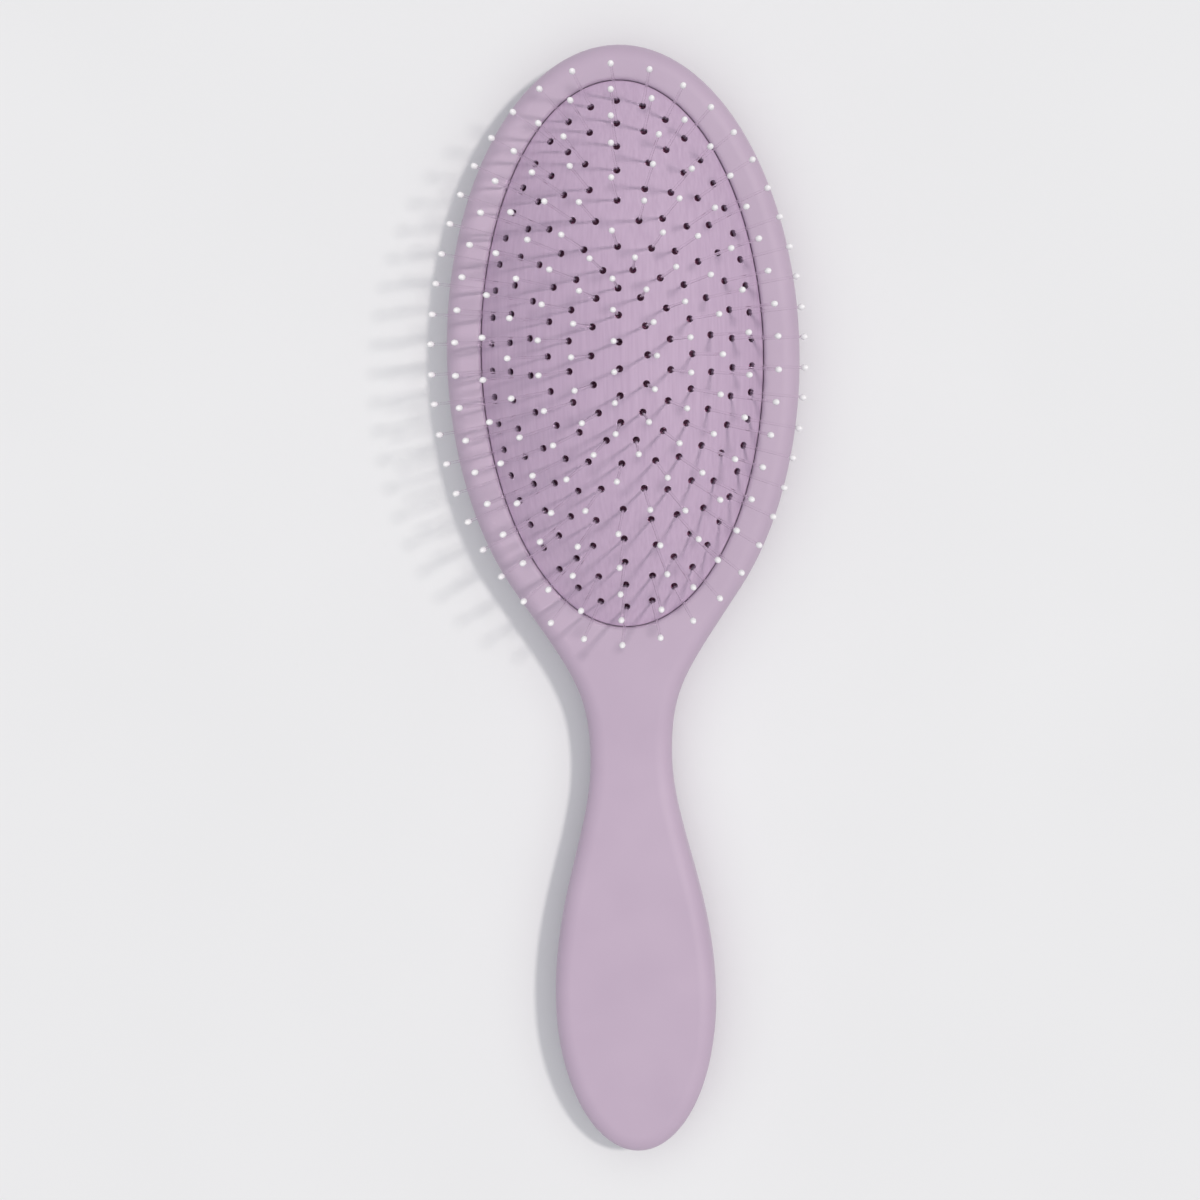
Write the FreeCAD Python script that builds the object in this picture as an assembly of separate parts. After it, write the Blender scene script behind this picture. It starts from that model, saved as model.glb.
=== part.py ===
"""Oval detangling brush: a hollow two-shell body, a domed rubber cushion and fanned ball-tipped bristles.

Millimetres, +Z up. The brush lies on its back, so the bristles point up. X runs across the brush and +Y
runs from the handle to the tip of the head. The origin is under the middle of the brush, on the surface
that it lies on.
"""
import FreeCAD, Part
import math
import os

from FreeCAD import Placement, Rotation, Vector

# Plan outline of the body
BRUSH_LENGTH = 225.0
HEAD_WIDTH = 71.2
HEAD_LENGTH = 124.0
NECK_LEAVES_HEAD = 49.5
WAIST_WIDTH = 16.5
WAIST_FROM_TIP = 144.0
GRIP_WIDTH = 32.7
GRIP_END_LENGTH = 31.5

# Shares of the neck's and the handle's run over which the outline keeps its direction at each end
HEAD_PULL = 0.49
WAIST_PULL_TO_HEAD = 0.41
WAIST_PULL_TO_GRIP = 0.29
GRIP_PULL = 0.44

# Points along each stretch of the half outline, and edges round the whole of it
HEAD_POINTS = 8
NECK_POINTS = 3
GRIP_POINTS = 4
END_POINTS = 5
OUTLINE_EDGES = 4

# Side outline of the body: heights of the front face and of the back face over the lying surface
HEAD_HEIGHT = 13.0
WAIST_FRONT_HEIGHT = 11.4
GRIP_FRONT_HEIGHT = 12.6
END_FRONT_HEIGHT = 10.0
WAIST_BACK_HEIGHT = 1.2
END_BACK_HEIGHT = 2.5
FRONT_ROUND = 3.4
BACK_ROUND = 5.2

# Shells
WALL = 2.6
PARTING_HEIGHT = 6.5
LAP_HEIGHT = 1.5
LAP_CLEARANCE = 0.1
RIM_WIDTH = 7.1
RIM_INNER_ROUND = 2.2
POST_COUNT = 3
POST_DIAMETER = 6.0
PEG_DIAMETER = 3.0
PEG_LENGTH_IN_POST = 3.5
PEG_CLEARANCE = 0.1

# Cushion
CROWN_HEIGHT = 10.0
CUSHION_THICKNESS = 2.2
CUSHION_EDGE_WALL = 1.3
CUSHION_RECESS = 1.0
CUSHION_CLEARANCE = 0.3
FLANGE_WIDTH = 2.8
FLANGE_THICKNESS = 1.6
SEAT_WALL = 1.8

# Carrier plate under the cushion
CARRIER_THICKNESS = 1.8
CARRIER_GAP = 0.3
CARRIER_EDGE_GAP = 0.5

# Bristles: flat-sided prisms, with each diameter measured across the corners
BRISTLE_REACH = 20.0
BRISTLE_ROOT_DIAMETER = 0.66
BRISTLE_END_DIAMETER = 0.54
TIP_DIAMETER = 1.3
TIP_END_DIAMETER = 0.7
TIP_LENGTH = 2.0
SOCKET_DEPTH = 1.0
SOCKET_CLEARANCE = 0.05
HOLE_DIAMETER = 1.6
BRISTLE_SIDES = 5

# Bristle rings: half width, half length and count of each oval, from the edge of the cushion inwards
RINGS = (
    (26.1, 50.65, 46),
    (22.27, 46.1, 38),
    (18.16, 41.45, 26),
    (14.43, 36.7, 24),
    (10.22, 30.7, 22),
    (5.65, 21.55, 16),
)
OUTER_RING_POWER = 1.93
INNER_RING_POWER = 1.62
RING_STEPS_PER_BRISTLE = 60
CENTRE_ROW_COUNT = 6
CENTRE_ROW_STEP = 5.32

# Places that follow from the sizes
TIP_Y = BRUSH_LENGTH / 2
END_Y = -BRUSH_LENGTH / 2
HEAD_Y = TIP_Y - HEAD_LENGTH / 2
WAIST_Y = TIP_Y - WAIST_FROM_TIP
GRIP_Y = END_Y + GRIP_END_LENGTH
HEAD_END_Y = HEAD_Y - HEAD_LENGTH / 2
LIP_UNDERSIDE = HEAD_HEIGHT - WALL
FLANGE_BOTTOM = LIP_UNDERSIDE - FLANGE_THICKNESS
CUSHION_EDGE = HEAD_HEIGHT - CUSHION_RECESS
OPENING = Vector(HEAD_WIDTH / 2 - RIM_WIDTH, HEAD_LENGTH / 2 - RIM_WIDTH, 0)
CARRIER_DROP = CUSHION_THICKNESS + CARRIER_GAP
BEYOND = 10.0


def bezier(*poles):
    curve = Part.BezierCurve()
    curve.setPoles([Vector(*pole) for pole in poles])
    return curve


def inset_points(curve, params, inset, forward=1):
    """Points of a plan curve, moved towards its right-hand side as it is walked."""
    points = []
    for param in params:
        place, along = curve.getD1(param)
        along = along.normalize() * forward
        points.append(place + Vector(along.y, -along.x, 0) * inset)
    return points


def shares(count, first=0.0, last=1.0):
    return [first + (last - first) * step / count for step in range(count + 1)]


def outline(inset=0.0):
    """Closed plan outline: oval head, drawn-in neck and rounded grip, as one smooth curve."""
    head = Part.Ellipse(Vector(0, TIP_Y, 0), Vector(HEAD_WIDTH / 2, HEAD_Y, 0), Vector(0, HEAD_Y, 0))
    leave = math.pi / 2 + math.radians(NECK_LEAVES_HEAD)
    start, heading = head.getD1(leave)
    neck_run = start.y - WAIST_Y
    neck = bezier(
        start,
        start - heading * (HEAD_PULL * neck_run / heading.y),
        (WAIST_WIDTH / 2, WAIST_Y + WAIST_PULL_TO_HEAD * neck_run, 0),
        (WAIST_WIDTH / 2, WAIST_Y, 0),
    )
    grip_run = WAIST_Y - GRIP_Y
    grip = bezier(
        (WAIST_WIDTH / 2, WAIST_Y, 0),
        (WAIST_WIDTH / 2, WAIST_Y - WAIST_PULL_TO_GRIP * grip_run, 0),
        (GRIP_WIDTH / 2, GRIP_Y + GRIP_PULL * grip_run, 0),
        (GRIP_WIDTH / 2, GRIP_Y, 0),
    )
    end = Part.Ellipse(Vector(0, END_Y, 0), Vector(GRIP_WIDTH / 2, GRIP_Y, 0), Vector(0, GRIP_Y, 0))

    right = inset_points(head, shares(HEAD_POINTS, 0, leave), inset)
    right += inset_points(neck, shares(NECK_POINTS)[1:], inset)
    right += inset_points(grip, shares(GRIP_POINTS)[1:], inset)
    right += inset_points(end, shares(END_POINTS, math.pi / 2, 0)[1:], inset, forward=-1)
    left = [Vector(-point.x, point.y, 0) for point in reversed(right[1:-1])]
    curve = Part.BSplineCurve()
    curve.interpolate(Points=right + left, PeriodicFlag=True)
    ends = shares(OUTLINE_EDGES, curve.FirstParameter, curve.LastParameter)
    return Part.Wire([curve.toShape(first, last) for first, last in zip(ends, ends[1:])])


def slab(inset, bottom, top):
    """Upright block on the body's plan outline."""
    lower = outline(inset)
    upper = lower.copy()
    lower.translate(Vector(0, 0, bottom))
    upper.translate(Vector(0, 0, top))
    return Part.makeLoft([lower, upper], True, True)


def face_line(head, waist, grip, end):
    """One face of the body seen from the side: level along the head, then a curve down the handle."""
    level = Part.makeLine(Vector(0, TIP_Y + BEYOND, head), Vector(0, HEAD_END_Y, head))
    last = Vector(0, END_Y - BEYOND, end)
    places = [Vector(0, HEAD_END_Y, head), Vector(0, WAIST_Y, waist), Vector(0, GRIP_Y, grip), last]
    curve = Part.BSplineCurve()
    heading = (last - places[2]).normalize()
    curve.interpolate(Points=places, InitialTangent=Vector(0, -1, 0), FinalTangent=heading)
    return [level, curve.toShape()]


def side_block(inset):
    """Block across the whole brush, as high as the body at each place along it."""
    front = face_line(
        HEAD_HEIGHT - inset, WAIST_FRONT_HEIGHT - inset, GRIP_FRONT_HEIGHT - inset, END_FRONT_HEIGHT - inset
    )
    back = face_line(inset, WAIST_BACK_HEIGHT + inset, inset, END_BACK_HEIGHT + inset)
    ends = [
        Part.makeLine(back[0].Vertexes[0].Point, front[0].Vertexes[0].Point),
        Part.makeLine(back[1].Vertexes[-1].Point, front[1].Vertexes[-1].Point),
    ]
    face = Part.Face(Part.Wire(Part.__sortEdges__(front + back + ends)))
    block = face.extrude(Vector(2 * HEAD_WIDTH, 0, 0))
    block.translate(Vector(-HEAD_WIDTH, 0, 0))
    return block


def body_blank():
    plan = Part.Face(outline()).extrude(Vector(0, 0, HEAD_HEIGHT + GRIP_FRONT_HEIGHT))
    plan.translate(Vector(0, 0, -HEAD_HEIGHT / 2))
    return plan.common(side_block(0)).Solids[0]


def body_cavity():
    return slab(WALL, 0, GRIP_FRONT_HEIGHT).common(side_block(WALL))


def rim_edges(blank, front):
    """Edges round the front or the back of a blank, without those that run straight across it."""
    long_edges = [edge for edge in blank.Edges if edge.BoundBox.YLength > WALL]
    return [edge for edge in long_edges if (edge.BoundBox.Center.z > PARTING_HEIGHT) == front]


def rounded_body():
    blank = body_blank()
    blank = blank.makeFillet(FRONT_ROUND, rim_edges(blank, front=True))
    below = PARTING_HEIGHT - FRONT_ROUND / 2
    back_edges = [edge for edge in rim_edges(blank, front=False) if edge.BoundBox.ZMax < below]
    return blank.makeFillet(BACK_ROUND, back_edges)


def oval(grow, bottom, top):
    """Upright block on the cushion opening's oval, grown by a margin all round."""
    half_x, half_y = OPENING.x + grow, OPENING.y + grow
    ring = Part.Ellipse(Vector(0, HEAD_Y + half_y, 0), Vector(half_x, HEAD_Y, 0), Vector(0, HEAD_Y, 0))
    block = Part.Face(Part.Wire(ring.toShape())).extrude(Vector(0, 0, top - bottom))
    block.translate(Vector(0, 0, bottom))
    return block


def posts(diameter, bottom, top):
    """Upright cylinders, evenly spaced down the middle of the handle."""
    places = shares(POST_COUNT + 1, WAIST_Y, END_Y)[1:-1]
    return [Part.makeCylinder(diameter / 2, top - bottom, Vector(0, y, bottom)) for y in places]


def make_shells():
    body = rounded_body()
    hollow = body.cut(body_cavity())
    below = Part.makeBox(4 * HEAD_WIDTH, 2 * BRUSH_LENGTH, PARTING_HEIGHT + BEYOND)
    below.translate(Vector(-2 * HEAD_WIDTH, -BRUSH_LENGTH, -BEYOND))
    back = hollow.common(below)
    front = hollow.cut(below)

    lap_top = PARTING_HEIGHT + LAP_HEIGHT
    tongue = slab(WALL / 2 + LAP_CLEARANCE, WALL, lap_top).cut(slab(WALL, 0, lap_top + BEYOND))
    tongue = tongue.cut(slab(0, 0, PARTING_HEIGHT - LAP_HEIGHT))
    front = front.cut(slab(WALL / 2, PARTING_HEIGHT - LAP_HEIGHT, lap_top + LAP_CLEARANCE))
    back = back.fuse(tongue)

    front = front.cut(oval(0, FLANGE_BOTTOM, HEAD_HEIGHT + BEYOND))
    mouth = [edge for edge in front.Edges if abs(edge.BoundBox.ZMin - HEAD_HEIGHT) < 0.01]
    mouth = [edge for edge in mouth if edge.BoundBox.XMax < OPENING.x + 0.1]
    front = front.makeFillet(RIM_INNER_ROUND, mouth)

    seat = oval(SEAT_WALL - CUSHION_EDGE_WALL, WALL / 2, FLANGE_BOTTOM)
    seat = seat.cut(oval(-CUSHION_EDGE_WALL, 0, HEAD_HEIGHT))

    bore_bottom = lap_top - PEG_LENGTH_IN_POST - PEG_CLEARANCE
    back = back.fuse([seat, *posts(POST_DIAMETER, WALL - PEG_CLEARANCE, lap_top)])
    back = back.cut(posts(PEG_DIAMETER + 2 * PEG_CLEARANCE, bore_bottom, lap_top + BEYOND))
    pegs = [peg.common(body) for peg in posts(PEG_DIAMETER, lap_top - PEG_LENGTH_IN_POST, GRIP_FRONT_HEIGHT)]
    return front.fuse(pegs), back


def dome(drop, thickness):
    """Sheet between two like paraboloids, the upper one lowered by drop from the top of the cushion."""
    half_x, half_y = OPENING.x + FLANGE_WIDTH, OPENING.y + FLANGE_WIDTH
    edge = cushion_half()
    fall_x = CROWN_HEIGHT * (half_x / edge.x) ** 2
    fall_y = CROWN_HEIGHT * (half_y / edge.y) ** 2
    crown = CUSHION_EDGE + CROWN_HEIGHT - drop
    surface = Part.BSplineSurface()
    poles = []
    for u in (-1, 0, 1):
        across = crown + fall_x * (1 - 2 * abs(u))
        poles.append(
            [Vector(u * half_x, HEAD_Y + v * half_y, across + fall_y * (1 - 2 * abs(v))) for v in (-1, 0, 1)]
        )
    surface.buildFromPolesMultsKnots(poles, (3, 3), (3, 3), (0, 1), (0, 1), False, False, 2, 2)
    return surface.toShape().extrude(Vector(0, 0, -thickness))


def cushion_half():
    """Half width and half length of the cushion at its edge."""
    return OPENING - Vector(CUSHION_CLEARANCE, CUSHION_CLEARANCE, 0)


def make_cushion(bristles):
    """Domed rubber sheet with a flange under the rim, and a loose hole for each bristle."""
    outside = oval(-CUSHION_CLEARANCE, FLANGE_BOTTOM, CUSHION_EDGE + CROWN_HEIGHT)
    sheet = dome(0, CUSHION_THICKNESS).common(outside)
    inside = oval(-CUSHION_EDGE_WALL, 0, CUSHION_EDGE + CROWN_HEIGHT)
    edge = oval(-CUSHION_CLEARANCE, FLANGE_BOTTOM, CUSHION_EDGE).cut(inside)
    flange = oval(FLANGE_WIDTH, FLANGE_BOTTOM, LIP_UNDERSIDE).cut(inside)
    cushion = sheet.fuse([edge, flange]).removeSplitter()
    hole = facet_solid((HOLE_DIAMETER, -CUSHION_THICKNESS), (HOLE_DIAMETER, 2 * CARRIER_DROP))
    return cushion.cut(placed(hole, bristles))


def make_carrier(bristles):
    """Domed plate under the cushion that holds the bristles in blind sockets."""
    bounds = oval(-CUSHION_EDGE_WALL - CARRIER_EDGE_GAP, 0, CUSHION_EDGE + CROWN_HEIGHT)
    plate = dome(CARRIER_DROP, CARRIER_THICKNESS).common(bounds)
    bore = BRISTLE_ROOT_DIAMETER + 2 * SOCKET_CLEARANCE
    socket = facet_solid((bore, -SOCKET_DEPTH), (bore, SOCKET_DEPTH))
    return plate.cut(placed(socket, bristles))


def make_bristle():
    end = BRISTLE_REACH + CARRIER_DROP - TIP_LENGTH
    return facet_solid((BRISTLE_ROOT_DIAMETER, -SOCKET_DEPTH), (BRISTLE_END_DIAMETER, end))


def make_tip():
    bottom = BRISTLE_REACH + CARRIER_DROP - TIP_LENGTH
    return facet_solid(
        (BRISTLE_END_DIAMETER, bottom),
        (TIP_DIAMETER, bottom + TIP_LENGTH / 2),
        (TIP_END_DIAMETER, bottom + TIP_LENGTH),
    )


def facet_solid(*rings):
    """Flat-sided upright solid through polygons, each given by its diameter and height."""
    turns = [2 * math.pi * step / BRISTLE_SIDES for step in range(BRISTLE_SIDES)]
    loops = [
        [Vector(size / 2 * math.cos(turn), size / 2 * math.sin(turn), height) for turn in turns]
        for size, height in rings
    ]
    outlines = [loops[0], loops[-1]]
    for lower, upper in zip(loops, loops[1:]):
        for side in range(BRISTLE_SIDES):
            after = (side + 1) % BRISTLE_SIDES
            outlines.append([lower[side], lower[after], upper[after], upper[side]])
    faces = [Part.Face(Part.makePolygon(points + points[:1])) for points in outlines]
    solid = Part.Solid(Part.Shell(faces))
    if solid.Volume < 0:
        solid.reverse()
    return solid


def placed(solid, places):
    copies = []
    for place in places:
        copy = solid.copy()
        copy.Placement = place
        copies.append(copy)
    return copies


def bristle_place(x, y):
    """Frame of the bristle whose hole is at a plan place from the cushion's middle.

    The bristle stands square to the dome. Its frame is on the carrier plate's top, on the bristle's axis.
    """
    edge = cushion_half()
    slope = Vector(2 * CROWN_HEIGHT * x / edge.x**2, 2 * CROWN_HEIGHT * y / edge.y**2, 1)
    axis = slope.normalize()
    surface = CUSHION_EDGE + CROWN_HEIGHT * (1 - (x / edge.x) ** 2 - (y / edge.y) ** 2)
    bend = CROWN_HEIGHT * ((axis.x / edge.x) ** 2 + (axis.y / edge.y) ** 2)
    fall = axis.z + 2 * CROWN_HEIGHT * (x * axis.x / edge.x**2 + y * axis.y / edge.y**2)
    depth = 2 * CARRIER_DROP / (fall + math.sqrt(fall**2 - 4 * bend * CARRIER_DROP))
    return Placement(Vector(x, HEAD_Y + y, surface) - axis * depth, Rotation(Vector(0, 0, 1), axis))


def ring_places(half_width, half_length, count, power):
    """Bristle frames round a full oval, evenly spaced along it from the tip's end of the long axis."""
    steps = RING_STEPS_PER_BRISTLE * count
    walk = []
    for step in range(steps + 1):
        turn = 2 * math.pi * step / steps
        across, along = math.sin(turn), math.cos(turn)
        walk.append(
            (
                half_width * math.copysign(abs(across) ** (2 / power), across),
                half_length * math.copysign(abs(along) ** (2 / power), along),
            )
        )
    travelled = [0.0]
    for before, after in zip(walk, walk[1:]):
        travelled.append(travelled[-1] + math.dist(before, after))
    places = []
    for number in range(count):
        goal = travelled[-1] * number / count
        nearest = min(range(steps), key=lambda step: abs(travelled[step] - goal))
        places.append(bristle_place(*walk[nearest]))
    return places


def bristle_groups():
    """Bristle frames by group: the rings from the edge inwards, then the centre row."""
    groups = {}
    widest = RINGS[0][0]
    for number, (half_width, half_length, count) in enumerate(RINGS, 1):
        power = INNER_RING_POWER + (OUTER_RING_POWER - INNER_RING_POWER) * half_width / widest
        groups[f"ring_{number}"] = ring_places(half_width, half_length, count, power)
    middle = (CENTRE_ROW_COUNT - 1) / 2
    groups["centre_row"] = [
        bristle_place(0, CENTRE_ROW_STEP * (number - middle)) for number in range(CENTRE_ROW_COUNT)
    ]
    return groups


def main():
    groups = bristle_groups()
    every = [place for places in groups.values() for place in places]
    front, back = make_shells()
    nodes = {
        "front_shell": front,
        "back_shell": back,
        "cushion": make_cushion(every),
        "carrier_plate": make_carrier(every),
    }
    bristle = make_bristle()
    tip = make_tip()
    for group, places in groups.items():
        nodes[f"bristles_{group}"] = Part.makeCompound(placed(bristle, places))
        nodes[f"ball_tips_{group}"] = Part.makeCompound(placed(tip, places))
    os.makedirs("parts", exist_ok=True)
    for name, shape in nodes.items():
        shape.exportStep(f"parts/{name}.step")
        print(name, len(shape.Solids), "solids", round(shape.Volume / 1000, 3), "cm3", shape.isValid())


main()
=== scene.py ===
"""Oval detangling brush, lying on its back on a pale studio floor.

Metres, in the part's own frame: X runs across the brush, +Y to the tip of the head
and +Z up, out of the cushion.
"""
import math

import bmesh
import bpy
from mathutils import Matrix, Vector


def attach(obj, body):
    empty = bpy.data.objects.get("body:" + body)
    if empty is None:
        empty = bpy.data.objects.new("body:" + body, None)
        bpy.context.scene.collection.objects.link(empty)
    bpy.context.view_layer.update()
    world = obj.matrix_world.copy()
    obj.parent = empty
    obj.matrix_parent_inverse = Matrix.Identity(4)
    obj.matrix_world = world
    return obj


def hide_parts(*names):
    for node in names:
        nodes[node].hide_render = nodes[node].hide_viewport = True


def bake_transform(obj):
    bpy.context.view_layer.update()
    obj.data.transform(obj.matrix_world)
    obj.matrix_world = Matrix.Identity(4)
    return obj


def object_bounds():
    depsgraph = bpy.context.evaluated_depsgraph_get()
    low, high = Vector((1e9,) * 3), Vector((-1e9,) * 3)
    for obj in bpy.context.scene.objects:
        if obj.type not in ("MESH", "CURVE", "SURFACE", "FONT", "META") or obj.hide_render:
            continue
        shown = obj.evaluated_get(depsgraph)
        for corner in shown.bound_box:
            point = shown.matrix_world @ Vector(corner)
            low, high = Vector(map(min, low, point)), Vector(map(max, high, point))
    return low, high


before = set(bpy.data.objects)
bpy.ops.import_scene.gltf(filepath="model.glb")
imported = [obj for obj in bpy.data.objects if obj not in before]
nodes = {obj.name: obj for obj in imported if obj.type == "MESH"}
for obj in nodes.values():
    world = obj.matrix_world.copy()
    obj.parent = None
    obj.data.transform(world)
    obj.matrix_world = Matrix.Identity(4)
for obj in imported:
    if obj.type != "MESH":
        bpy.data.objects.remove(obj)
cad_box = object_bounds()

MM = 0.001

# Plan outline of the body
BRUSH_LENGTH = 225 * MM
HEAD_WIDTH = 71.2 * MM
HEAD_LENGTH = 124 * MM
NECK_LEAVES_HEAD = math.radians(49.5)
WAIST_WIDTH = 16.5 * MM
WAIST_FROM_TIP = 144 * MM
GRIP_WIDTH = 32.7 * MM
GRIP_END_LENGTH = 31.5 * MM
HEAD_PULL = 0.49
WAIST_PULL_TO_HEAD = 0.41
WAIST_PULL_TO_GRIP = 0.29
GRIP_PULL = 0.44
HEAD_STEPS = 48
NECK_STEPS = 18
GRIP_STEPS = 20
END_STEPS = 20
THROAT_CUTS = 9

# Side outline and walls of the body
HEAD_HEIGHT = 13 * MM
WAIST_FRONT_HEIGHT = 11.4 * MM
GRIP_FRONT_HEIGHT = 12.6 * MM
END_FRONT_HEIGHT = 10 * MM
WAIST_BACK_HEIGHT = 1.2 * MM
END_BACK_HEIGHT = 2.5 * MM
BEYOND_END = 10 * MM
FRONT_ROUND = 3.4 * MM
BACK_ROUND = 5.2 * MM
WALL = 2.6 * MM
PARTING_HEIGHT = 6.5 * MM
RIM_WIDTH = 7.1 * MM
RIM_INNER_ROUND = 2.3 * MM
RIM_INNER_FULLNESS = 0.8
SEAM_CHAMFER = 0.22 * MM

# Cushion: the heights of its edge, crown and flange, and its holes
CROWN_HEIGHT = 10 * MM
CUSHION_EDGE = 12 * MM
CUSHION_EDGE_ROUND = 0.2 * MM
CUSHION_CLEARANCE = 0.14 * MM
CUSHION_THICKNESS = 1.3 * MM
FLANGE_WIDTH = 2.7 * MM
FLANGE_TOP = 10.4 * MM
CUSHION_CELLS = 72
HOLE_DIAMETER = 1.45 * MM
HOLE_SIDES = 20
HOLE_DEPTH = 6 * MM

# Bristles and their ball tips
BRISTLE_ROOT_DIAMETER = 0.62 * MM
BRISTLE_END_DIAMETER = 0.5 * MM
BRISTLE_SIDES = 10
TIP_DIAMETER = 1.3 * MM
TIP_LENGTH = 2 * MM
TIP_SIDES = 8
TIP_RINGS = 7
TIP_NECK_START = 0.2
TIP_NECK_SLIMNESS = 0.92
BRISTLE_GROUPS = ("ring_1", "ring_2", "ring_3", "ring_4", "ring_5", "ring_6", "centre_row")

# Steps round each rounding, and the sharpest angle that each piece shades smoothly
ROUND_STEPS = 10
SEAM_STEPS = 2
CUSHION_EDGE_STEPS = 4
MOULDED_SMOOTH = math.radians(40)
BRISTLE_SMOOTH = math.radians(50)
TIP_SMOOTH = math.radians(80)
NORMAL_WEIGHT = 80

# How near counts as touching: a plane, an oval as a share of its size, a weld, and level as an upright normal
NEAR = 0.01 * MM
NEAR_OVAL = 0.003
WELD = 0.001 * MM
LEVEL = 0.99

# Places that follow from the sizes
TIP_Y = BRUSH_LENGTH / 2
END_Y = -BRUSH_LENGTH / 2
HEAD_Y = TIP_Y - HEAD_LENGTH / 2
WAIST_Y = TIP_Y - WAIST_FROM_TIP
GRIP_Y = END_Y + GRIP_END_LENGTH
HEAD_END_Y = HEAD_Y - HEAD_LENGTH / 2
OPENING_X = HEAD_WIDTH / 2 - RIM_WIDTH
OPENING_Y = HEAD_LENGTH / 2 - RIM_WIDTH
CUSHION_X = OPENING_X - CUSHION_CLEARANCE
CUSHION_Y = OPENING_Y - CUSHION_CLEARANCE
STRIPS_START_Y = HEAD_Y - OPENING_Y - RIM_WIDTH / 2


# Modelling helpers

def begin():
    """Leaves edit mode and deselects everything, so that the next operator acts on its own piece alone."""
    if bpy.context.object and bpy.context.object.mode != "OBJECT":
        bpy.ops.object.mode_set(mode="OBJECT")
    bpy.ops.object.select_all(action="DESELECT")


def named(name):
    """Names the primitive that was just added, and puts its place into its mesh."""
    piece = bpy.context.object
    piece.name = name
    piece.data.name = name
    bpy.ops.object.transform_apply(location=True, rotation=True, scale=True)
    return piece


def activate(piece):
    """Selects one piece alone, for the next operator."""
    begin()
    piece.select_set(True)
    bpy.context.view_layer.objects.active = piece


def edit(piece):
    activate(piece)
    bpy.ops.object.mode_set(mode="EDIT")


def pick(piece, kind, test):
    """Selects the edges or faces that pass a test, in edit mode."""
    bpy.ops.mesh.select_mode(type={"edges": "EDGE", "faces": "FACE"}[kind])
    bpy.ops.mesh.select_all(action="DESELECT")
    mesh = bmesh.from_edit_mesh(piece.data)
    for element in getattr(mesh, kind):
        element.select_set(test(element))
    mesh.select_flush_mode()
    bmesh.update_edit_mesh(piece.data)


def finish_with(piece, kind, **settings):
    """Adds a modifier and applies it."""
    activate(piece)
    modifier = piece.modifiers.new(kind.title(), kind)
    for name, value in settings.items():
        setattr(modifier, name, value)
    bpy.ops.object.modifier_apply(modifier=modifier.name)


def smooth(piece, angle):
    activate(piece)
    bpy.ops.object.shade_smooth_by_angle(angle=angle)


def cut_away(piece, cutter):
    finish_with(piece, "BOOLEAN", operation="DIFFERENCE", solver="EXACT", object=cutter)
    bpy.data.objects.remove(cutter)


# Body shells

def bezier(first, second, third, last, share):
    """Point at a share of the way along a cubic curve."""
    rest = 1 - share
    return tuple(
        rest**3 * a + 3 * rest**2 * share * b + 3 * rest * share**2 * c + share**3 * d
        for a, b, c, d in zip(first, second, third, last)
    )


def right_outline():
    """Plan points down the right side of the body, from the tip of the head to the end of the handle."""
    leave = math.pi / 2 + NECK_LEAVES_HEAD
    head = [
        (HEAD_WIDTH / 2 * math.sin(turn), HEAD_Y + HEAD_LENGTH / 2 * math.cos(turn))
        for turn in (leave * step / HEAD_STEPS for step in range(HEAD_STEPS + 1))
    ]
    start = head[-1]
    heading_x = HEAD_WIDTH / 2 * math.cos(leave)
    heading_y = -HEAD_LENGTH / 2 * math.sin(leave)
    neck_run = start[1] - WAIST_Y
    pull = -HEAD_PULL * neck_run / heading_y
    waist = WAIST_WIDTH / 2
    neck = (
        start,
        (start[0] + heading_x * pull, start[1] + heading_y * pull),
        (waist, WAIST_Y + WAIST_PULL_TO_HEAD * neck_run),
        (waist, WAIST_Y),
    )
    grip_run = WAIST_Y - GRIP_Y
    grip = (
        (waist, WAIST_Y),
        (waist, WAIST_Y - WAIST_PULL_TO_GRIP * grip_run),
        (GRIP_WIDTH / 2, GRIP_Y + GRIP_PULL * grip_run),
        (GRIP_WIDTH / 2, GRIP_Y),
    )
    points = head
    points += [bezier(*neck, step / NECK_STEPS) for step in range(1, NECK_STEPS + 1)]
    points += [bezier(*grip, step / GRIP_STEPS) for step in range(1, GRIP_STEPS + 1)]
    for step in range(1, END_STEPS + 1):
        turn = math.pi / 2 * step / END_STEPS
        points.append((GRIP_WIDTH / 2 * math.cos(turn), GRIP_Y - GRIP_END_LENGTH * math.sin(turn)))
    return points


def face_height(y, head, waist, grip, end):
    """Height of the front or back face along the brush: level on the head, then a curve down the handle."""
    if y >= HEAD_END_Y:
        return head
    last_y = END_Y - BEYOND_END
    places = [(TIP_Y, head), (HEAD_END_Y, head), (WAIST_Y, waist), (GRIP_Y, grip), (last_y, end)]
    slopes = [0, 0]
    for before, after in zip(places[1:], places[3:]):
        slopes.append((after[1] - before[1]) / (after[0] - before[0]))
    slopes.append((end - grip) / (last_y - GRIP_Y))
    for number in range(1, len(places) - 1):
        (upper_y, upper), (lower_y, lower) = places[number], places[number + 1]
        if y >= lower_y:
            break
    run = lower_y - upper_y
    share = (y - upper_y) / run
    return (
        upper * (1 + 2 * share) * (1 - share) ** 2
        + lower * share**2 * (3 - 2 * share)
        + run * share * (1 - share) * (slopes[number] * (1 - share) - slopes[number + 1] * share)
    )


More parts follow.
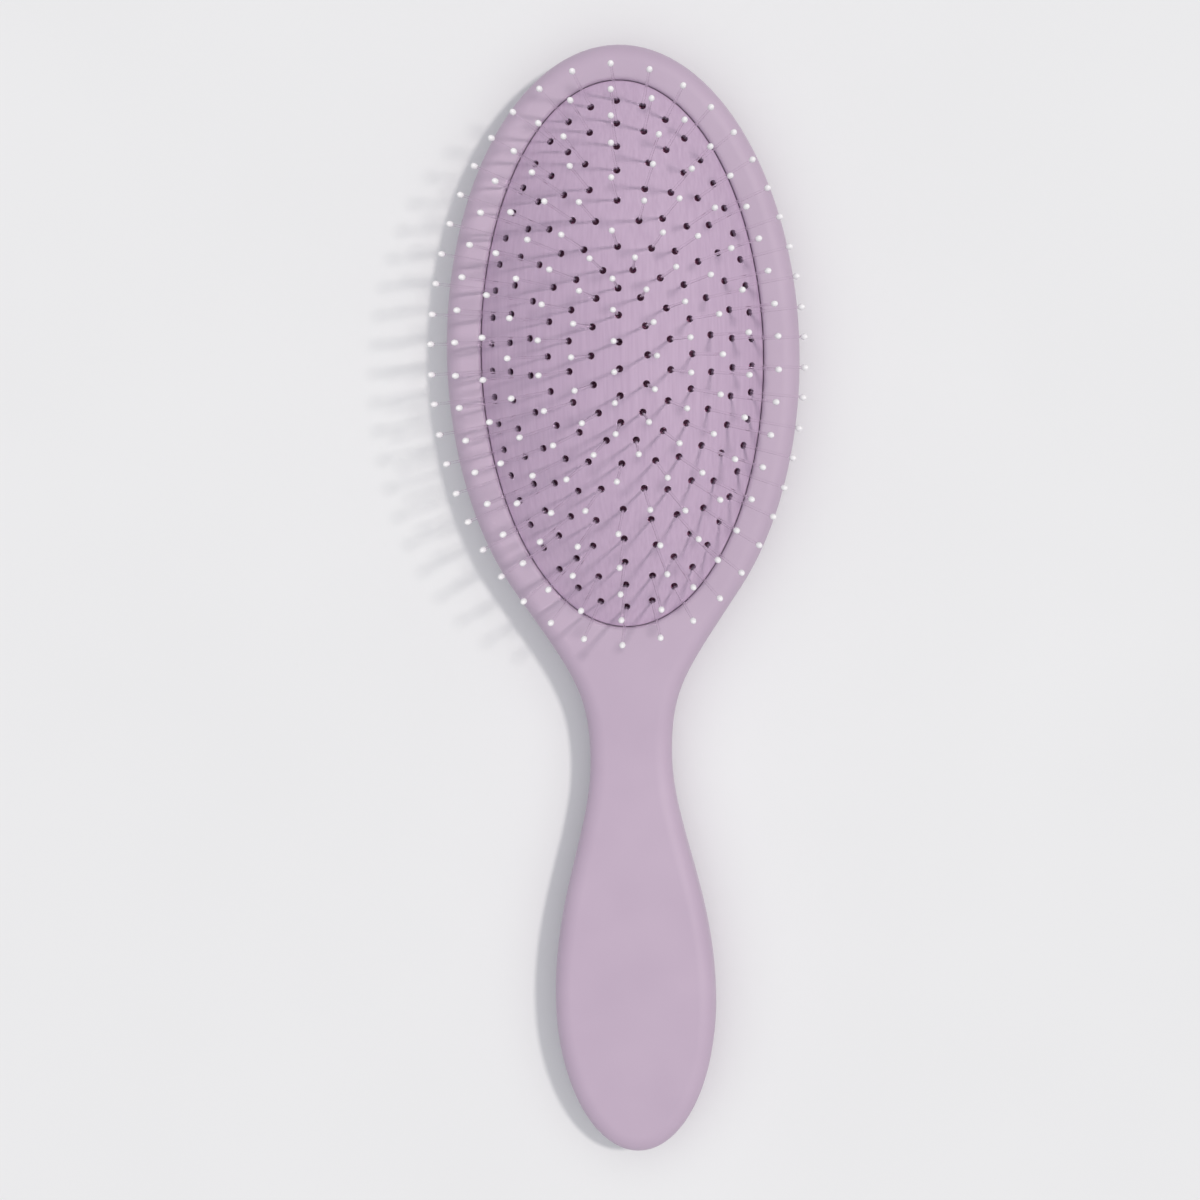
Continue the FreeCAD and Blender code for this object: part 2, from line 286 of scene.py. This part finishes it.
def body_half(name, depth, rounding, heights):
    """Solid half of the body, outwards from the parting plane, with a rounded edge and its side outline."""
    right = right_outline()
    outline = right + [(-x, y) for x, y in reversed(right[1:-1])]
    begin()
    bpy.ops.mesh.primitive_circle_add(
        vertices=len(outline), radius=HEAD_WIDTH / 2, fill_type="NGON", location=(0, 0, PARTING_HEIGHT)
    )
    half = named(name)
    for corner, (x, y) in zip(half.data.vertices, outline):
        corner.co = (x, y, PARTING_HEIGHT)
    edit(half)
    bpy.ops.mesh.select_all(action="SELECT")
    bpy.ops.mesh.extrude_region_move(TRANSFORM_OT_translate={"value": (0, 0, depth)})
    far = PARTING_HEIGHT + depth
    pick(half, "edges", lambda edge: all(abs(corner.co.z - far) < NEAR for corner in edge.verts))
    bpy.ops.mesh.bevel(offset=rounding, segments=ROUND_STEPS, affect="EDGES", clamp_overlap=False)

    # Strips across the handle let its face follow the side outline
    mesh = bmesh.from_edit_mesh(half.data)
    face = max(mesh.faces, key=lambda face: abs(face.calc_center_median().z - PARTING_HEIGHT))
    corners = sorted(face.verts, key=lambda corner: -corner.co.y)
    right_side = [corner for corner in corners if corner.co.x > NEAR and corner.co.y < STRIPS_START_Y]
    for corner in right_side[:-1]:
        mirrored = Vector((-corner.co.x, corner.co.y, corner.co.z))
        opposite = min(corners, key=lambda other: (other.co - mirrored).length)
        bmesh.ops.connect_verts(mesh, verts=[corner, opposite])
    for corner in mesh.verts:
        share = (corner.co.z - PARTING_HEIGHT) / depth
        corner.co.z = PARTING_HEIGHT + share * (face_height(corner.co.y, *heights) - PARTING_HEIGHT)
    bmesh.update_edit_mesh(half.data)
    bpy.ops.mesh.select_all(action="SELECT")
    bpy.ops.mesh.normals_make_consistent(inside=False)
    return half


def on_oval(corner, half_x, half_y):
    """True for a corner on the head's oval of the given half width and half length."""
    share = (corner.co.x / half_x) ** 2 + ((corner.co.y - HEAD_Y) / half_y) ** 2
    return abs(share - 1) < NEAR_OVAL


def hollow_out(half):
    """Opens a body half at the parting plane and gives it its wall, with a fine chamfer along the seam."""
    edit(half)
    pick(half, "faces", lambda face: all(abs(corner.co.z - PARTING_HEIGHT) < NEAR for corner in face.verts))
    bpy.ops.mesh.delete(type="FACE")
    finish_with(half, "SOLIDIFY", thickness=WALL, offset=-1, use_even_offset=True)
    outline = {(round(x / MM, 2), round(y / MM, 2)) for x, y in right_outline()}
    edit(half)
    pick(
        half, "edges",
        lambda edge: all(
            abs(corner.co.z - PARTING_HEIGHT) < NEAR
            and (round(abs(corner.co.x) / MM, 2), round(corner.co.y / MM, 2)) in outline
            for corner in edge.verts
        ),
    )
    bpy.ops.mesh.bevel(offset=SEAM_CHAMFER, segments=SEAM_STEPS, affect="EDGES")


def open_head(shell):
    """Oval opening in the head's front for the cushion, with a lip as deep as the wall."""
    edit(shell)
    mesh = bmesh.from_edit_mesh(shell.data)
    level = [face for face in mesh.faces if face.normal.z > LEVEL]
    on_head = [face for face in level if face.calc_center_median().y > HEAD_END_Y]
    rim = max(on_head, key=lambda face: face.calc_area())
    throat = min(rim.edges, key=lambda edge: edge.verts[0].co.y + edge.verts[1].co.y)
    corners = {tuple(corner.co) for corner in throat.verts}
    pick(shell, "edges", lambda edge: {tuple(corner.co) for corner in edge.verts} == corners)
    bpy.ops.mesh.subdivide(number_cuts=THROAT_CUTS)
    pick(shell, "faces", lambda face: face.normal.z > LEVEL and len(face.verts) > 2 * HEAD_STEPS)
    bpy.ops.mesh.delete(type="ONLY_FACE")
    pick(shell, "edges", lambda edge: edge.is_boundary)
    bpy.ops.mesh.extrude_edges_move()
    mesh = bmesh.from_edit_mesh(shell.data)
    for corner in mesh.verts:
        if corner.select:
            turn = math.atan2((corner.co.y - HEAD_Y) / OPENING_Y, corner.co.x / OPENING_X)
            corner.co = (OPENING_X * math.cos(turn), HEAD_Y + OPENING_Y * math.sin(turn), HEAD_HEIGHT)
    bmesh.update_edit_mesh(shell.data)
    bpy.ops.mesh.extrude_edges_move(TRANSFORM_OT_translate={"value": (0, 0, -WALL)})


def model_front_shell():
    """Front of the handle and the rim round the cushion, full where the rim turns down to it."""
    shell = body_half(
        "front_shell_soft_touch", HEAD_HEIGHT - PARTING_HEIGHT, FRONT_ROUND,
        (HEAD_HEIGHT, WAIST_FRONT_HEIGHT, GRIP_FRONT_HEIGHT, END_FRONT_HEIGHT),
    )
    open_head(shell)
    hollow_out(shell)
    pick(
        shell, "edges",
        lambda edge: all(
            on_oval(corner, OPENING_X, OPENING_Y) and abs(corner.co.z - HEAD_HEIGHT) < NEAR
            for corner in edge.verts
        ),
    )
    bpy.ops.mesh.bevel(
        offset=RIM_INNER_ROUND, segments=ROUND_STEPS, profile=RIM_INNER_FULLNESS,
        affect="EDGES", clamp_overlap=False,
    )
    smooth(shell, MOULDED_SMOOTH)
    finish_with(shell, "WEIGHTED_NORMAL", keep_sharp=True, weight=NORMAL_WEIGHT)
    return shell


def model_back_shell():
    """Closed back of the head and handle, lifted off the floor at the waist and the end."""
    shell = body_half(
        "back_shell_soft_touch", -PARTING_HEIGHT, BACK_ROUND,
        (0, WAIST_BACK_HEIGHT, 0, END_BACK_HEIGHT),
    )
    hollow_out(shell)
    smooth(shell, MOULDED_SMOOTH)
    finish_with(shell, "WEIGHTED_NORMAL", keep_sharp=True, weight=NORMAL_WEIGHT)
    return shell


# Places of the bristles

def bristle_axes(group):
    """Root and end of each bristle of a CAD group, from the middles of its two ends."""
    mesh = bmesh.new()
    mesh.from_mesh(nodes[f"bristles_{group}"].data)
    bmesh.ops.remove_doubles(mesh, verts=mesh.verts, dist=WELD)
    axes = []
    waiting = set(mesh.verts)
    while waiting:
        bristle = set()
        reached = {next(iter(waiting))}
        while reached:
            bristle |= reached
            next_ones = {edge.other_vert(corner) for corner in reached for edge in corner.link_edges}
            reached = next_ones - bristle
        waiting -= bristle
        places = sorted((corner.co.copy() for corner in bristle), key=lambda place: place.z)
        half = len(places) // 2
        root = sum(places[:half], Vector()) / half
        end = sum(places[half:], Vector()) / half
        axes.append((root, end))
    mesh.free()
    return sorted(axes, key=lambda axis: (round(axis[0].y / MM, 2), round(axis[0].x / MM, 2)))


def standing(root, end):
    """Frame at a bristle's root, with its Z along the bristle."""
    return Matrix.Translation(root) @ (end - root).to_track_quat("Z", "Y").to_matrix().to_4x4()


def repeat(model, name, frames):
    """One piece out of copies of a model, each with its own mesh, at the given frames."""
    begin()
    copies = []
    for place in frames:
        copy = model.copy()
        copy.data = model.data.copy()
        copy.matrix_world = place
        bpy.context.scene.collection.objects.link(copy)
        copy.select_set(True)
        copies.append(copy)
    bpy.context.view_layer.objects.active = copies[0]
    bpy.ops.object.join()
    return named(name)


# Cushion

def model_cushion(axes):
    """Crowned rubber skin with a flange under the rim and a loose hole for each bristle."""
    begin()
    bpy.ops.mesh.primitive_grid_add(x_subdivisions=CUSHION_CELLS, y_subdivisions=CUSHION_CELLS, size=2)
    cushion = named("cushion_rubber")
    for corner in cushion.data.vertices:
        across, along = corner.co.x, corner.co.y
        across, along = across * math.sqrt(1 - along**2 / 2), along * math.sqrt(1 - across**2 / 2)
        crown = CUSHION_EDGE + CROWN_HEIGHT * (1 - across**2 - along**2)
        corner.co = (across * CUSHION_X, HEAD_Y + along * CUSHION_Y, crown)
    edit(cushion)
    for move, grow in ((FLANGE_TOP - CUSHION_EDGE, 0), (0, FLANGE_WIDTH)):
        pick(cushion, "edges", lambda edge: edge.is_boundary)
        bpy.ops.mesh.extrude_edges_move(TRANSFORM_OT_translate={"value": (0, 0, move)})
        growth = (1 + grow / CUSHION_X, 1 + grow / CUSHION_Y, 1)
        bpy.ops.transform.resize(value=growth, center_override=(0, HEAD_Y, FLANGE_TOP))
    bpy.ops.mesh.select_all(action="SELECT")
    bpy.ops.mesh.normals_make_consistent(inside=False)
    finish_with(cushion, "SOLIDIFY", thickness=CUSHION_THICKNESS, offset=-1, use_even_offset=True)
    edit(cushion)
    pick(
        cushion, "edges",
        lambda edge: all(
            on_oval(corner, CUSHION_X, CUSHION_Y) and abs(corner.co.z - CUSHION_EDGE) < NEAR
            for corner in edge.verts
        ),
    )
    bpy.ops.mesh.bevel(
        offset=CUSHION_EDGE_ROUND, segments=CUSHION_EDGE_STEPS, affect="EDGES", clamp_overlap=False
    )

    begin()
    bpy.ops.mesh.primitive_cylinder_add(vertices=HOLE_SIDES, radius=HOLE_DIAMETER / 2, depth=2 * HOLE_DEPTH)
    hole = named("hole")
    cutters = repeat(hole, "hole_cutters", [standing(root, end) for root, end in axes])
    bpy.data.objects.remove(hole)
    cut_away(cushion, cutters)
    smooth(cushion, MOULDED_SMOOTH)
    return cushion


# Bristles

def model_bristle(length):
    """Straight bristle with its root at the origin, tapered to its end."""
    begin()
    bpy.ops.mesh.primitive_cylinder_add(
        vertices=BRISTLE_SIDES, radius=BRISTLE_ROOT_DIAMETER / 2, depth=length,
        location=(0, 0, length / 2),
    )
    bristle = named("bristle")
    edit(bristle)
    pick(bristle, "faces", lambda face: all(corner.co.z > length / 2 for corner in face.verts))
    taper = BRISTLE_END_DIAMETER / BRISTLE_ROOT_DIAMETER
    bpy.ops.transform.resize(value=(taper, taper, 1), center_override=(0, 0, length))
    smooth(bristle, BRISTLE_SMOOTH)
    return bristle


def model_tip():
    """Ball tip with its neck at the origin: an egg, slimmer towards the bristle."""
    begin()
    bpy.ops.mesh.primitive_uv_sphere_add(
        segments=TIP_SIDES, ring_count=TIP_RINGS, radius=TIP_DIAMETER / 2
    )
    tip = named("ball_tip")
    edit(tip)
    bpy.ops.mesh.select_all(action="SELECT")
    bpy.ops.transform.resize(value=(1, 1, TIP_LENGTH / TIP_DIAMETER))
    neck_z = -TIP_NECK_START * TIP_LENGTH
    pick(tip, "faces", lambda face: all(corner.co.z < neck_z for corner in face.verts))
    bpy.ops.transform.resize(value=(TIP_NECK_SLIMNESS, TIP_NECK_SLIMNESS, 1), center_override=(0, 0, 0))
    bpy.ops.mesh.select_all(action="SELECT")
    bpy.ops.transform.translate(value=(0, 0, TIP_LENGTH / 2))
    smooth(tip, TIP_SMOOTH)
    return tip


# Materials

def linear(hex_colour):
    """sRGB hex colour as linear RGBA."""
    parts = [int(hex_colour[start:start + 2], 16) / 255 for start in (1, 3, 5)]
    light = [part / 12.92 if part <= 0.04045 else ((part + 0.055) / 1.055) ** 2.4 for part in parts]
    return [*light, 1.0]


def add(tree, kind, settings=None, inputs=None, links=None):
    """Adds a node with its settings, its fixed inputs and the sockets that feed it."""
    node = tree.nodes.new(kind)
    for name, value in (settings or {}).items():
        setattr(node, name, value)
    for name, value in (inputs or {}).items():
        node.inputs[name].default_value = value
    for name, socket in (links or {}).items():
        tree.links.new(socket, node.inputs[name])
    return node


def new_material(name):
    """Empty material, with its shader and its object coordinates."""
    material = bpy.data.materials.new(name)
    material.use_nodes = True
    tree = material.node_tree
    shader = tree.nodes["Principled BSDF"]
    place = add(tree, "ShaderNodeTexCoord").outputs["Object"]
    return material, tree, shader, place


def soft_touch_abs():
    """Moulded ABS under a soft-touch lacquer: dull, faintly velvety, with a fine powdery grain."""
    material, tree, shader, place = new_material("soft_touch_lacquered_abs")
    cloud = add(
        tree, "ShaderNodeTexNoise", inputs={"Scale": 1 / (14 * MM), "Detail": 2.0},
        links={"Vector": place},
    )
    tone = add(
        tree, "ShaderNodeMix", {"data_type": "RGBA"}, {"A": linear("#B7A3BA"), "B": linear("#C1ADC3")},
        {"Factor": cloud.outputs["Fac"]},
    )
    tree.links.new(tone.outputs["Result"], shader.inputs["Base Color"])
    grain = add(
        tree, "ShaderNodeTexNoise", inputs={"Scale": 1 / (0.35 * MM), "Detail": 3.0},
        links={"Vector": place},
    )
    dullness = add(
        tree, "ShaderNodeMapRange", inputs={"To Min": 0.5, "To Max": 0.62},
        links={"Value": grain.outputs["Fac"]},
    )
    tree.links.new(dullness.outputs["Result"], shader.inputs["Roughness"])
    bump = add(
        tree, "ShaderNodeBump", inputs={"Strength": 0.12, "Distance": 0.05 * MM},
        links={"Height": grain.outputs["Fac"]},
    )
    tree.links.new(bump.outputs["Normal"], shader.inputs["Normal"])
    shader.inputs["IOR"].default_value = 1.5
    shader.inputs["Sheen Weight"].default_value = 0.12
    shader.inputs["Sheen Roughness"].default_value = 0.5
    return material


def moulded_rubber():
    """Moulded rubber: matt, with the fine lines that the mould's polishing left along the cushion."""
    material, tree, shader, place = new_material("moulded_lilac_rubber")
    along = add(
        tree, "ShaderNodeMapping", inputs={"Scale": (1 / (0.5 * MM), 1 / (12 * MM), 1 / (0.5 * MM))},
        links={"Vector": place},
    )
    lines = add(
        tree, "ShaderNodeTexNoise", inputs={"Scale": 1.0, "Detail": 2.0},
        links={"Vector": along.outputs["Vector"]},
    )
    tone = add(
        tree, "ShaderNodeMix", {"data_type": "RGBA"}, {"A": linear("#B198B5"), "B": linear("#C7B0CA")},
        {"Factor": lines.outputs["Fac"]},
    )
    tree.links.new(tone.outputs["Result"], shader.inputs["Base Color"])
    bump = add(
        tree, "ShaderNodeBump", inputs={"Strength": 0.15, "Distance": 0.05 * MM},
        links={"Height": lines.outputs["Fac"]},
    )
    tree.links.new(bump.outputs["Normal"], shader.inputs["Normal"])
    shader.inputs["Roughness"].default_value = 0.62
    shader.inputs["IOR"].default_value = 1.52
    return material


def carrier_polypropylene():
    """Moulded plum-pink polypropylene: dull, and seen only as the dark depth of the bristle holes."""
    material, tree, shader, place = new_material("moulded_polypropylene")
    grain = add(
        tree, "ShaderNodeTexNoise", inputs={"Scale": 1 / (0.8 * MM), "Detail": 2.0},
        links={"Vector": place},
    )
    tone = add(
        tree, "ShaderNodeMix", {"data_type": "RGBA"}, {"A": linear("#B06C96"), "B": linear("#C880AC")},
        {"Factor": grain.outputs["Fac"]},
    )
    tree.links.new(tone.outputs["Result"], shader.inputs["Base Color"])
    shader.inputs["Roughness"].default_value = 0.5
    shader.inputs["IOR"].default_value = 1.49
    return material


def drawn_nylon():
    """Drawn clear nylon, unevenly glossy. A low index lets it sink into what lies behind it."""
    material, tree, shader, place = new_material("clear_drawn_nylon")
    cloud = add(
        tree, "ShaderNodeTexNoise", inputs={"Scale": 1 / (1.5 * MM), "Detail": 2.0},
        links={"Vector": place},
    )
    haze = add(
        tree, "ShaderNodeMapRange", inputs={"To Min": 0.02, "To Max": 0.08},
        links={"Value": cloud.outputs["Fac"]},
    )
    tree.links.new(haze.outputs["Result"], shader.inputs["Roughness"])
    shader.inputs["Base Color"].default_value = linear("#FEFDFE")
    shader.inputs["Transmission Weight"].default_value = 1.0
    shader.inputs["IOR"].default_value = 1.12
    return material


def dipped_tip():
    """Epoxy-dipped ball tip: bright white and glossy."""
    material, tree, shader, place = new_material("white_dipped_epoxy")
    cloud = add(
        tree, "ShaderNodeTexNoise", inputs={"Scale": 1 / (2 * MM), "Detail": 1.0},
        links={"Vector": place},
    )
    tone = add(
        tree, "ShaderNodeMix", {"data_type": "RGBA"}, {"A": linear("#EEEBF1"), "B": linear("#FDFCFE")},
        {"Factor": cloud.outputs["Fac"]},
    )
    tree.links.new(tone.outputs["Result"], shader.inputs["Base Color"])
    shader.inputs["Roughness"].default_value = 0.22
    shader.inputs["IOR"].default_value = 1.55
    return material


def matt_paper():
    """Matt backdrop paper: pale neutral grey with a faint mottle."""
    material, tree, shader, place = new_material("matt_backdrop_paper")
    cloud = add(
        tree, "ShaderNodeTexNoise", inputs={"Scale": 1 / (60 * MM), "Detail": 2.0},
        links={"Vector": place},
    )
    tone = add(
        tree, "ShaderNodeMix", {"data_type": "RGBA"}, {"A": linear("#E8E9EC"), "B": linear("#ECEDF0")},
        {"Factor": cloud.outputs["Fac"]},
    )
    tree.links.new(tone.outputs["Result"], shader.inputs["Base Color"])
    shader.inputs["Roughness"].default_value = 0.95
    shader.inputs["Specular IOR Level"].default_value = 0.0
    return material


# Camera, floor and light

IMAGE_SIZE = 1200
# Pixels of the picture that a millimetre takes up at the place that the camera aims at
PIXELS_PER_MM = 4.913
CAMERA_PLACE = Vector((41, 58, 760)) * MM
CAMERA_AIM = Vector((-5.79, 0.75, 6.5)) * MM
CAMERA_ROLL = math.radians(1.18)
SENSOR_WIDTH = 36.0
CLIP_START = 10 * MM
CLIP_END = 50.0
FLOOR_SIZE = 6.0
WORLD_COLOUR = (0.98, 0.99, 1.0, 1.0)
WORLD_AS_LIGHT = 0.305
WORLD_AS_SEEN = 0.83


def set_camera():
    """Camera nearly straight above the brush, with its lens worked out from the size of the picture."""
    data = bpy.data.cameras.new("studio_camera")
    camera = bpy.data.objects.new("studio_camera", data)
    bpy.context.scene.collection.objects.link(camera)
    back = (CAMERA_PLACE - CAMERA_AIM).normalized()
    up = Vector((math.sin(CAMERA_ROLL), math.cos(CAMERA_ROLL), 0))
    right = up.cross(back).normalized()
    turned = Matrix((right, back.cross(right), back)).transposed()
    camera.matrix_world = Matrix.Translation(CAMERA_PLACE) @ turned.to_4x4()
    distance = (CAMERA_PLACE - CAMERA_AIM).length
    data.sensor_width = SENSOR_WIDTH
    data.lens = SENSOR_WIDTH * PIXELS_PER_MM * (distance / MM) / IMAGE_SIZE
    data.clip_start = CLIP_START
    data.clip_end = CLIP_END
    bpy.context.scene.camera = camera


def set_floor():
    begin()
    bpy.ops.mesh.primitive_plane_add(size=FLOOR_SIZE, location=(0, 0, cad_box[0][2]))
    floor = named("studio_floor")
    floor.data.materials.append(matt_paper())


def add_sun(name, energy, spread, colour, direction):
    """Adds a far lamp that shines from a direction and looks as wide as its spread in degrees."""
    data = bpy.data.lights.new(name, "SUN")
    data.energy = energy
    data.angle = math.radians(spread)
    data.color = colour
    lamp = bpy.data.objects.new(name, data)
    lamp.rotation_euler = Vector(direction).to_track_quat("Z", "Y").to_euler()
    bpy.context.scene.collection.objects.link(lamp)


def set_light():
    """Small key light from the right, a wide softbox overhead and a little light from all round.

    Seen directly, in gloss or through the bristles, the world is as pale as the floor. As light it is dimmer.
    """
    add_sun("key", energy=1.13, spread=5.5, colour=(1.0, 0.945, 0.885), direction=(0.5, 0.2, 1.0))
    add_sun("overhead", energy=1.24, spread=110, colour=(0.99, 0.996, 1.0), direction=(0.0, 0.0, 1.0))
    world = bpy.data.worlds.new("studio")
    bpy.context.scene.world = world
    world.use_nodes = True
    tree = world.node_tree
    sky = tree.nodes["Background"]
    sky.inputs["Color"].default_value = WORLD_COLOUR
    ray = add(tree, "ShaderNodeLightPath").outputs
    seen = add(
        tree, "ShaderNodeMath", {"operation": "ADD"},
        links={0: ray["Is Camera Ray"], 1: ray["Is Glossy Ray"]},
    )
    seen = add(
        tree, "ShaderNodeMath", {"operation": "ADD", "use_clamp": True},
        links={0: seen.outputs["Value"], 1: ray["Is Transmission Ray"]},
    )
    seen = add(
        tree, "ShaderNodeMath", {"operation": "SUBTRACT", "use_clamp": True},
        links={0: seen.outputs["Value"], 1: ray["Diffuse Depth"]},
    )
    strength = add(
        tree, "ShaderNodeMapRange", inputs={"To Min": WORLD_AS_LIGHT, "To Max": WORLD_AS_SEEN},
        links={"Value": seen.outputs["Value"]},
    )
    tree.links.new(strength.outputs["Result"], sky.inputs["Strength"])


# Assembly

def dress(piece, material, slot, *replaced):
    """Gives a finished piece its material and hides the CAD nodes that it stands for."""
    piece.data.materials.clear()
    piece.data.materials.append(material)
    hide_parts(*replaced)
    return piece


set_camera()
set_floor()
set_light()

soft_touch = soft_touch_abs()
rubber = moulded_rubber()
nylon = drawn_nylon()
white_tip = dipped_tip()
carrier = carrier_polypropylene()

axes_by_group = {group: bristle_axes(group) for group in BRISTLE_GROUPS}
every_axis = [axis for axes in axes_by_group.values() for axis in axes]

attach(dress(model_front_shell(), soft_touch, "soft_touch_lilac", "front_shell"), "handle")
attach(dress(model_back_shell(), soft_touch, "soft_touch_lilac", "back_shell"), "handle")

# The cushion's flange lies under the rim
cushion = dress(model_cushion(every_axis), rubber, "lilac_rubber", "cushion")
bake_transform(cushion)

first_root, first_end = every_axis[0]
bristle = model_bristle((first_end - first_root).length)
tip = model_tip()
for group, axes in axes_by_group.items():
    bristles = repeat(bristle, f"nylon_bristles_{group}", [standing(root, end) for root, end in axes])
    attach(dress(bristles, nylon, "clear_nylon", f"bristles_{group}"), "bristle_bed")
    frames = [standing(root, end) @ Matrix.Translation((0, 0, (end - root).length)) for root, end in axes]
    tips = repeat(tip, f"white_tips_{group}", frames)
    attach(dress(tips, white_tip, "white_tip", f"ball_tips_{group}"), "bristle_bed")
bpy.data.objects.remove(bristle)
bpy.data.objects.remove(tip)
nodes["carrier_plate"].data.materials.clear()
nodes["carrier_plate"].data.materials.append(carrier)

bpy.context.scene.view_settings.view_transform = "Standard"
begin()
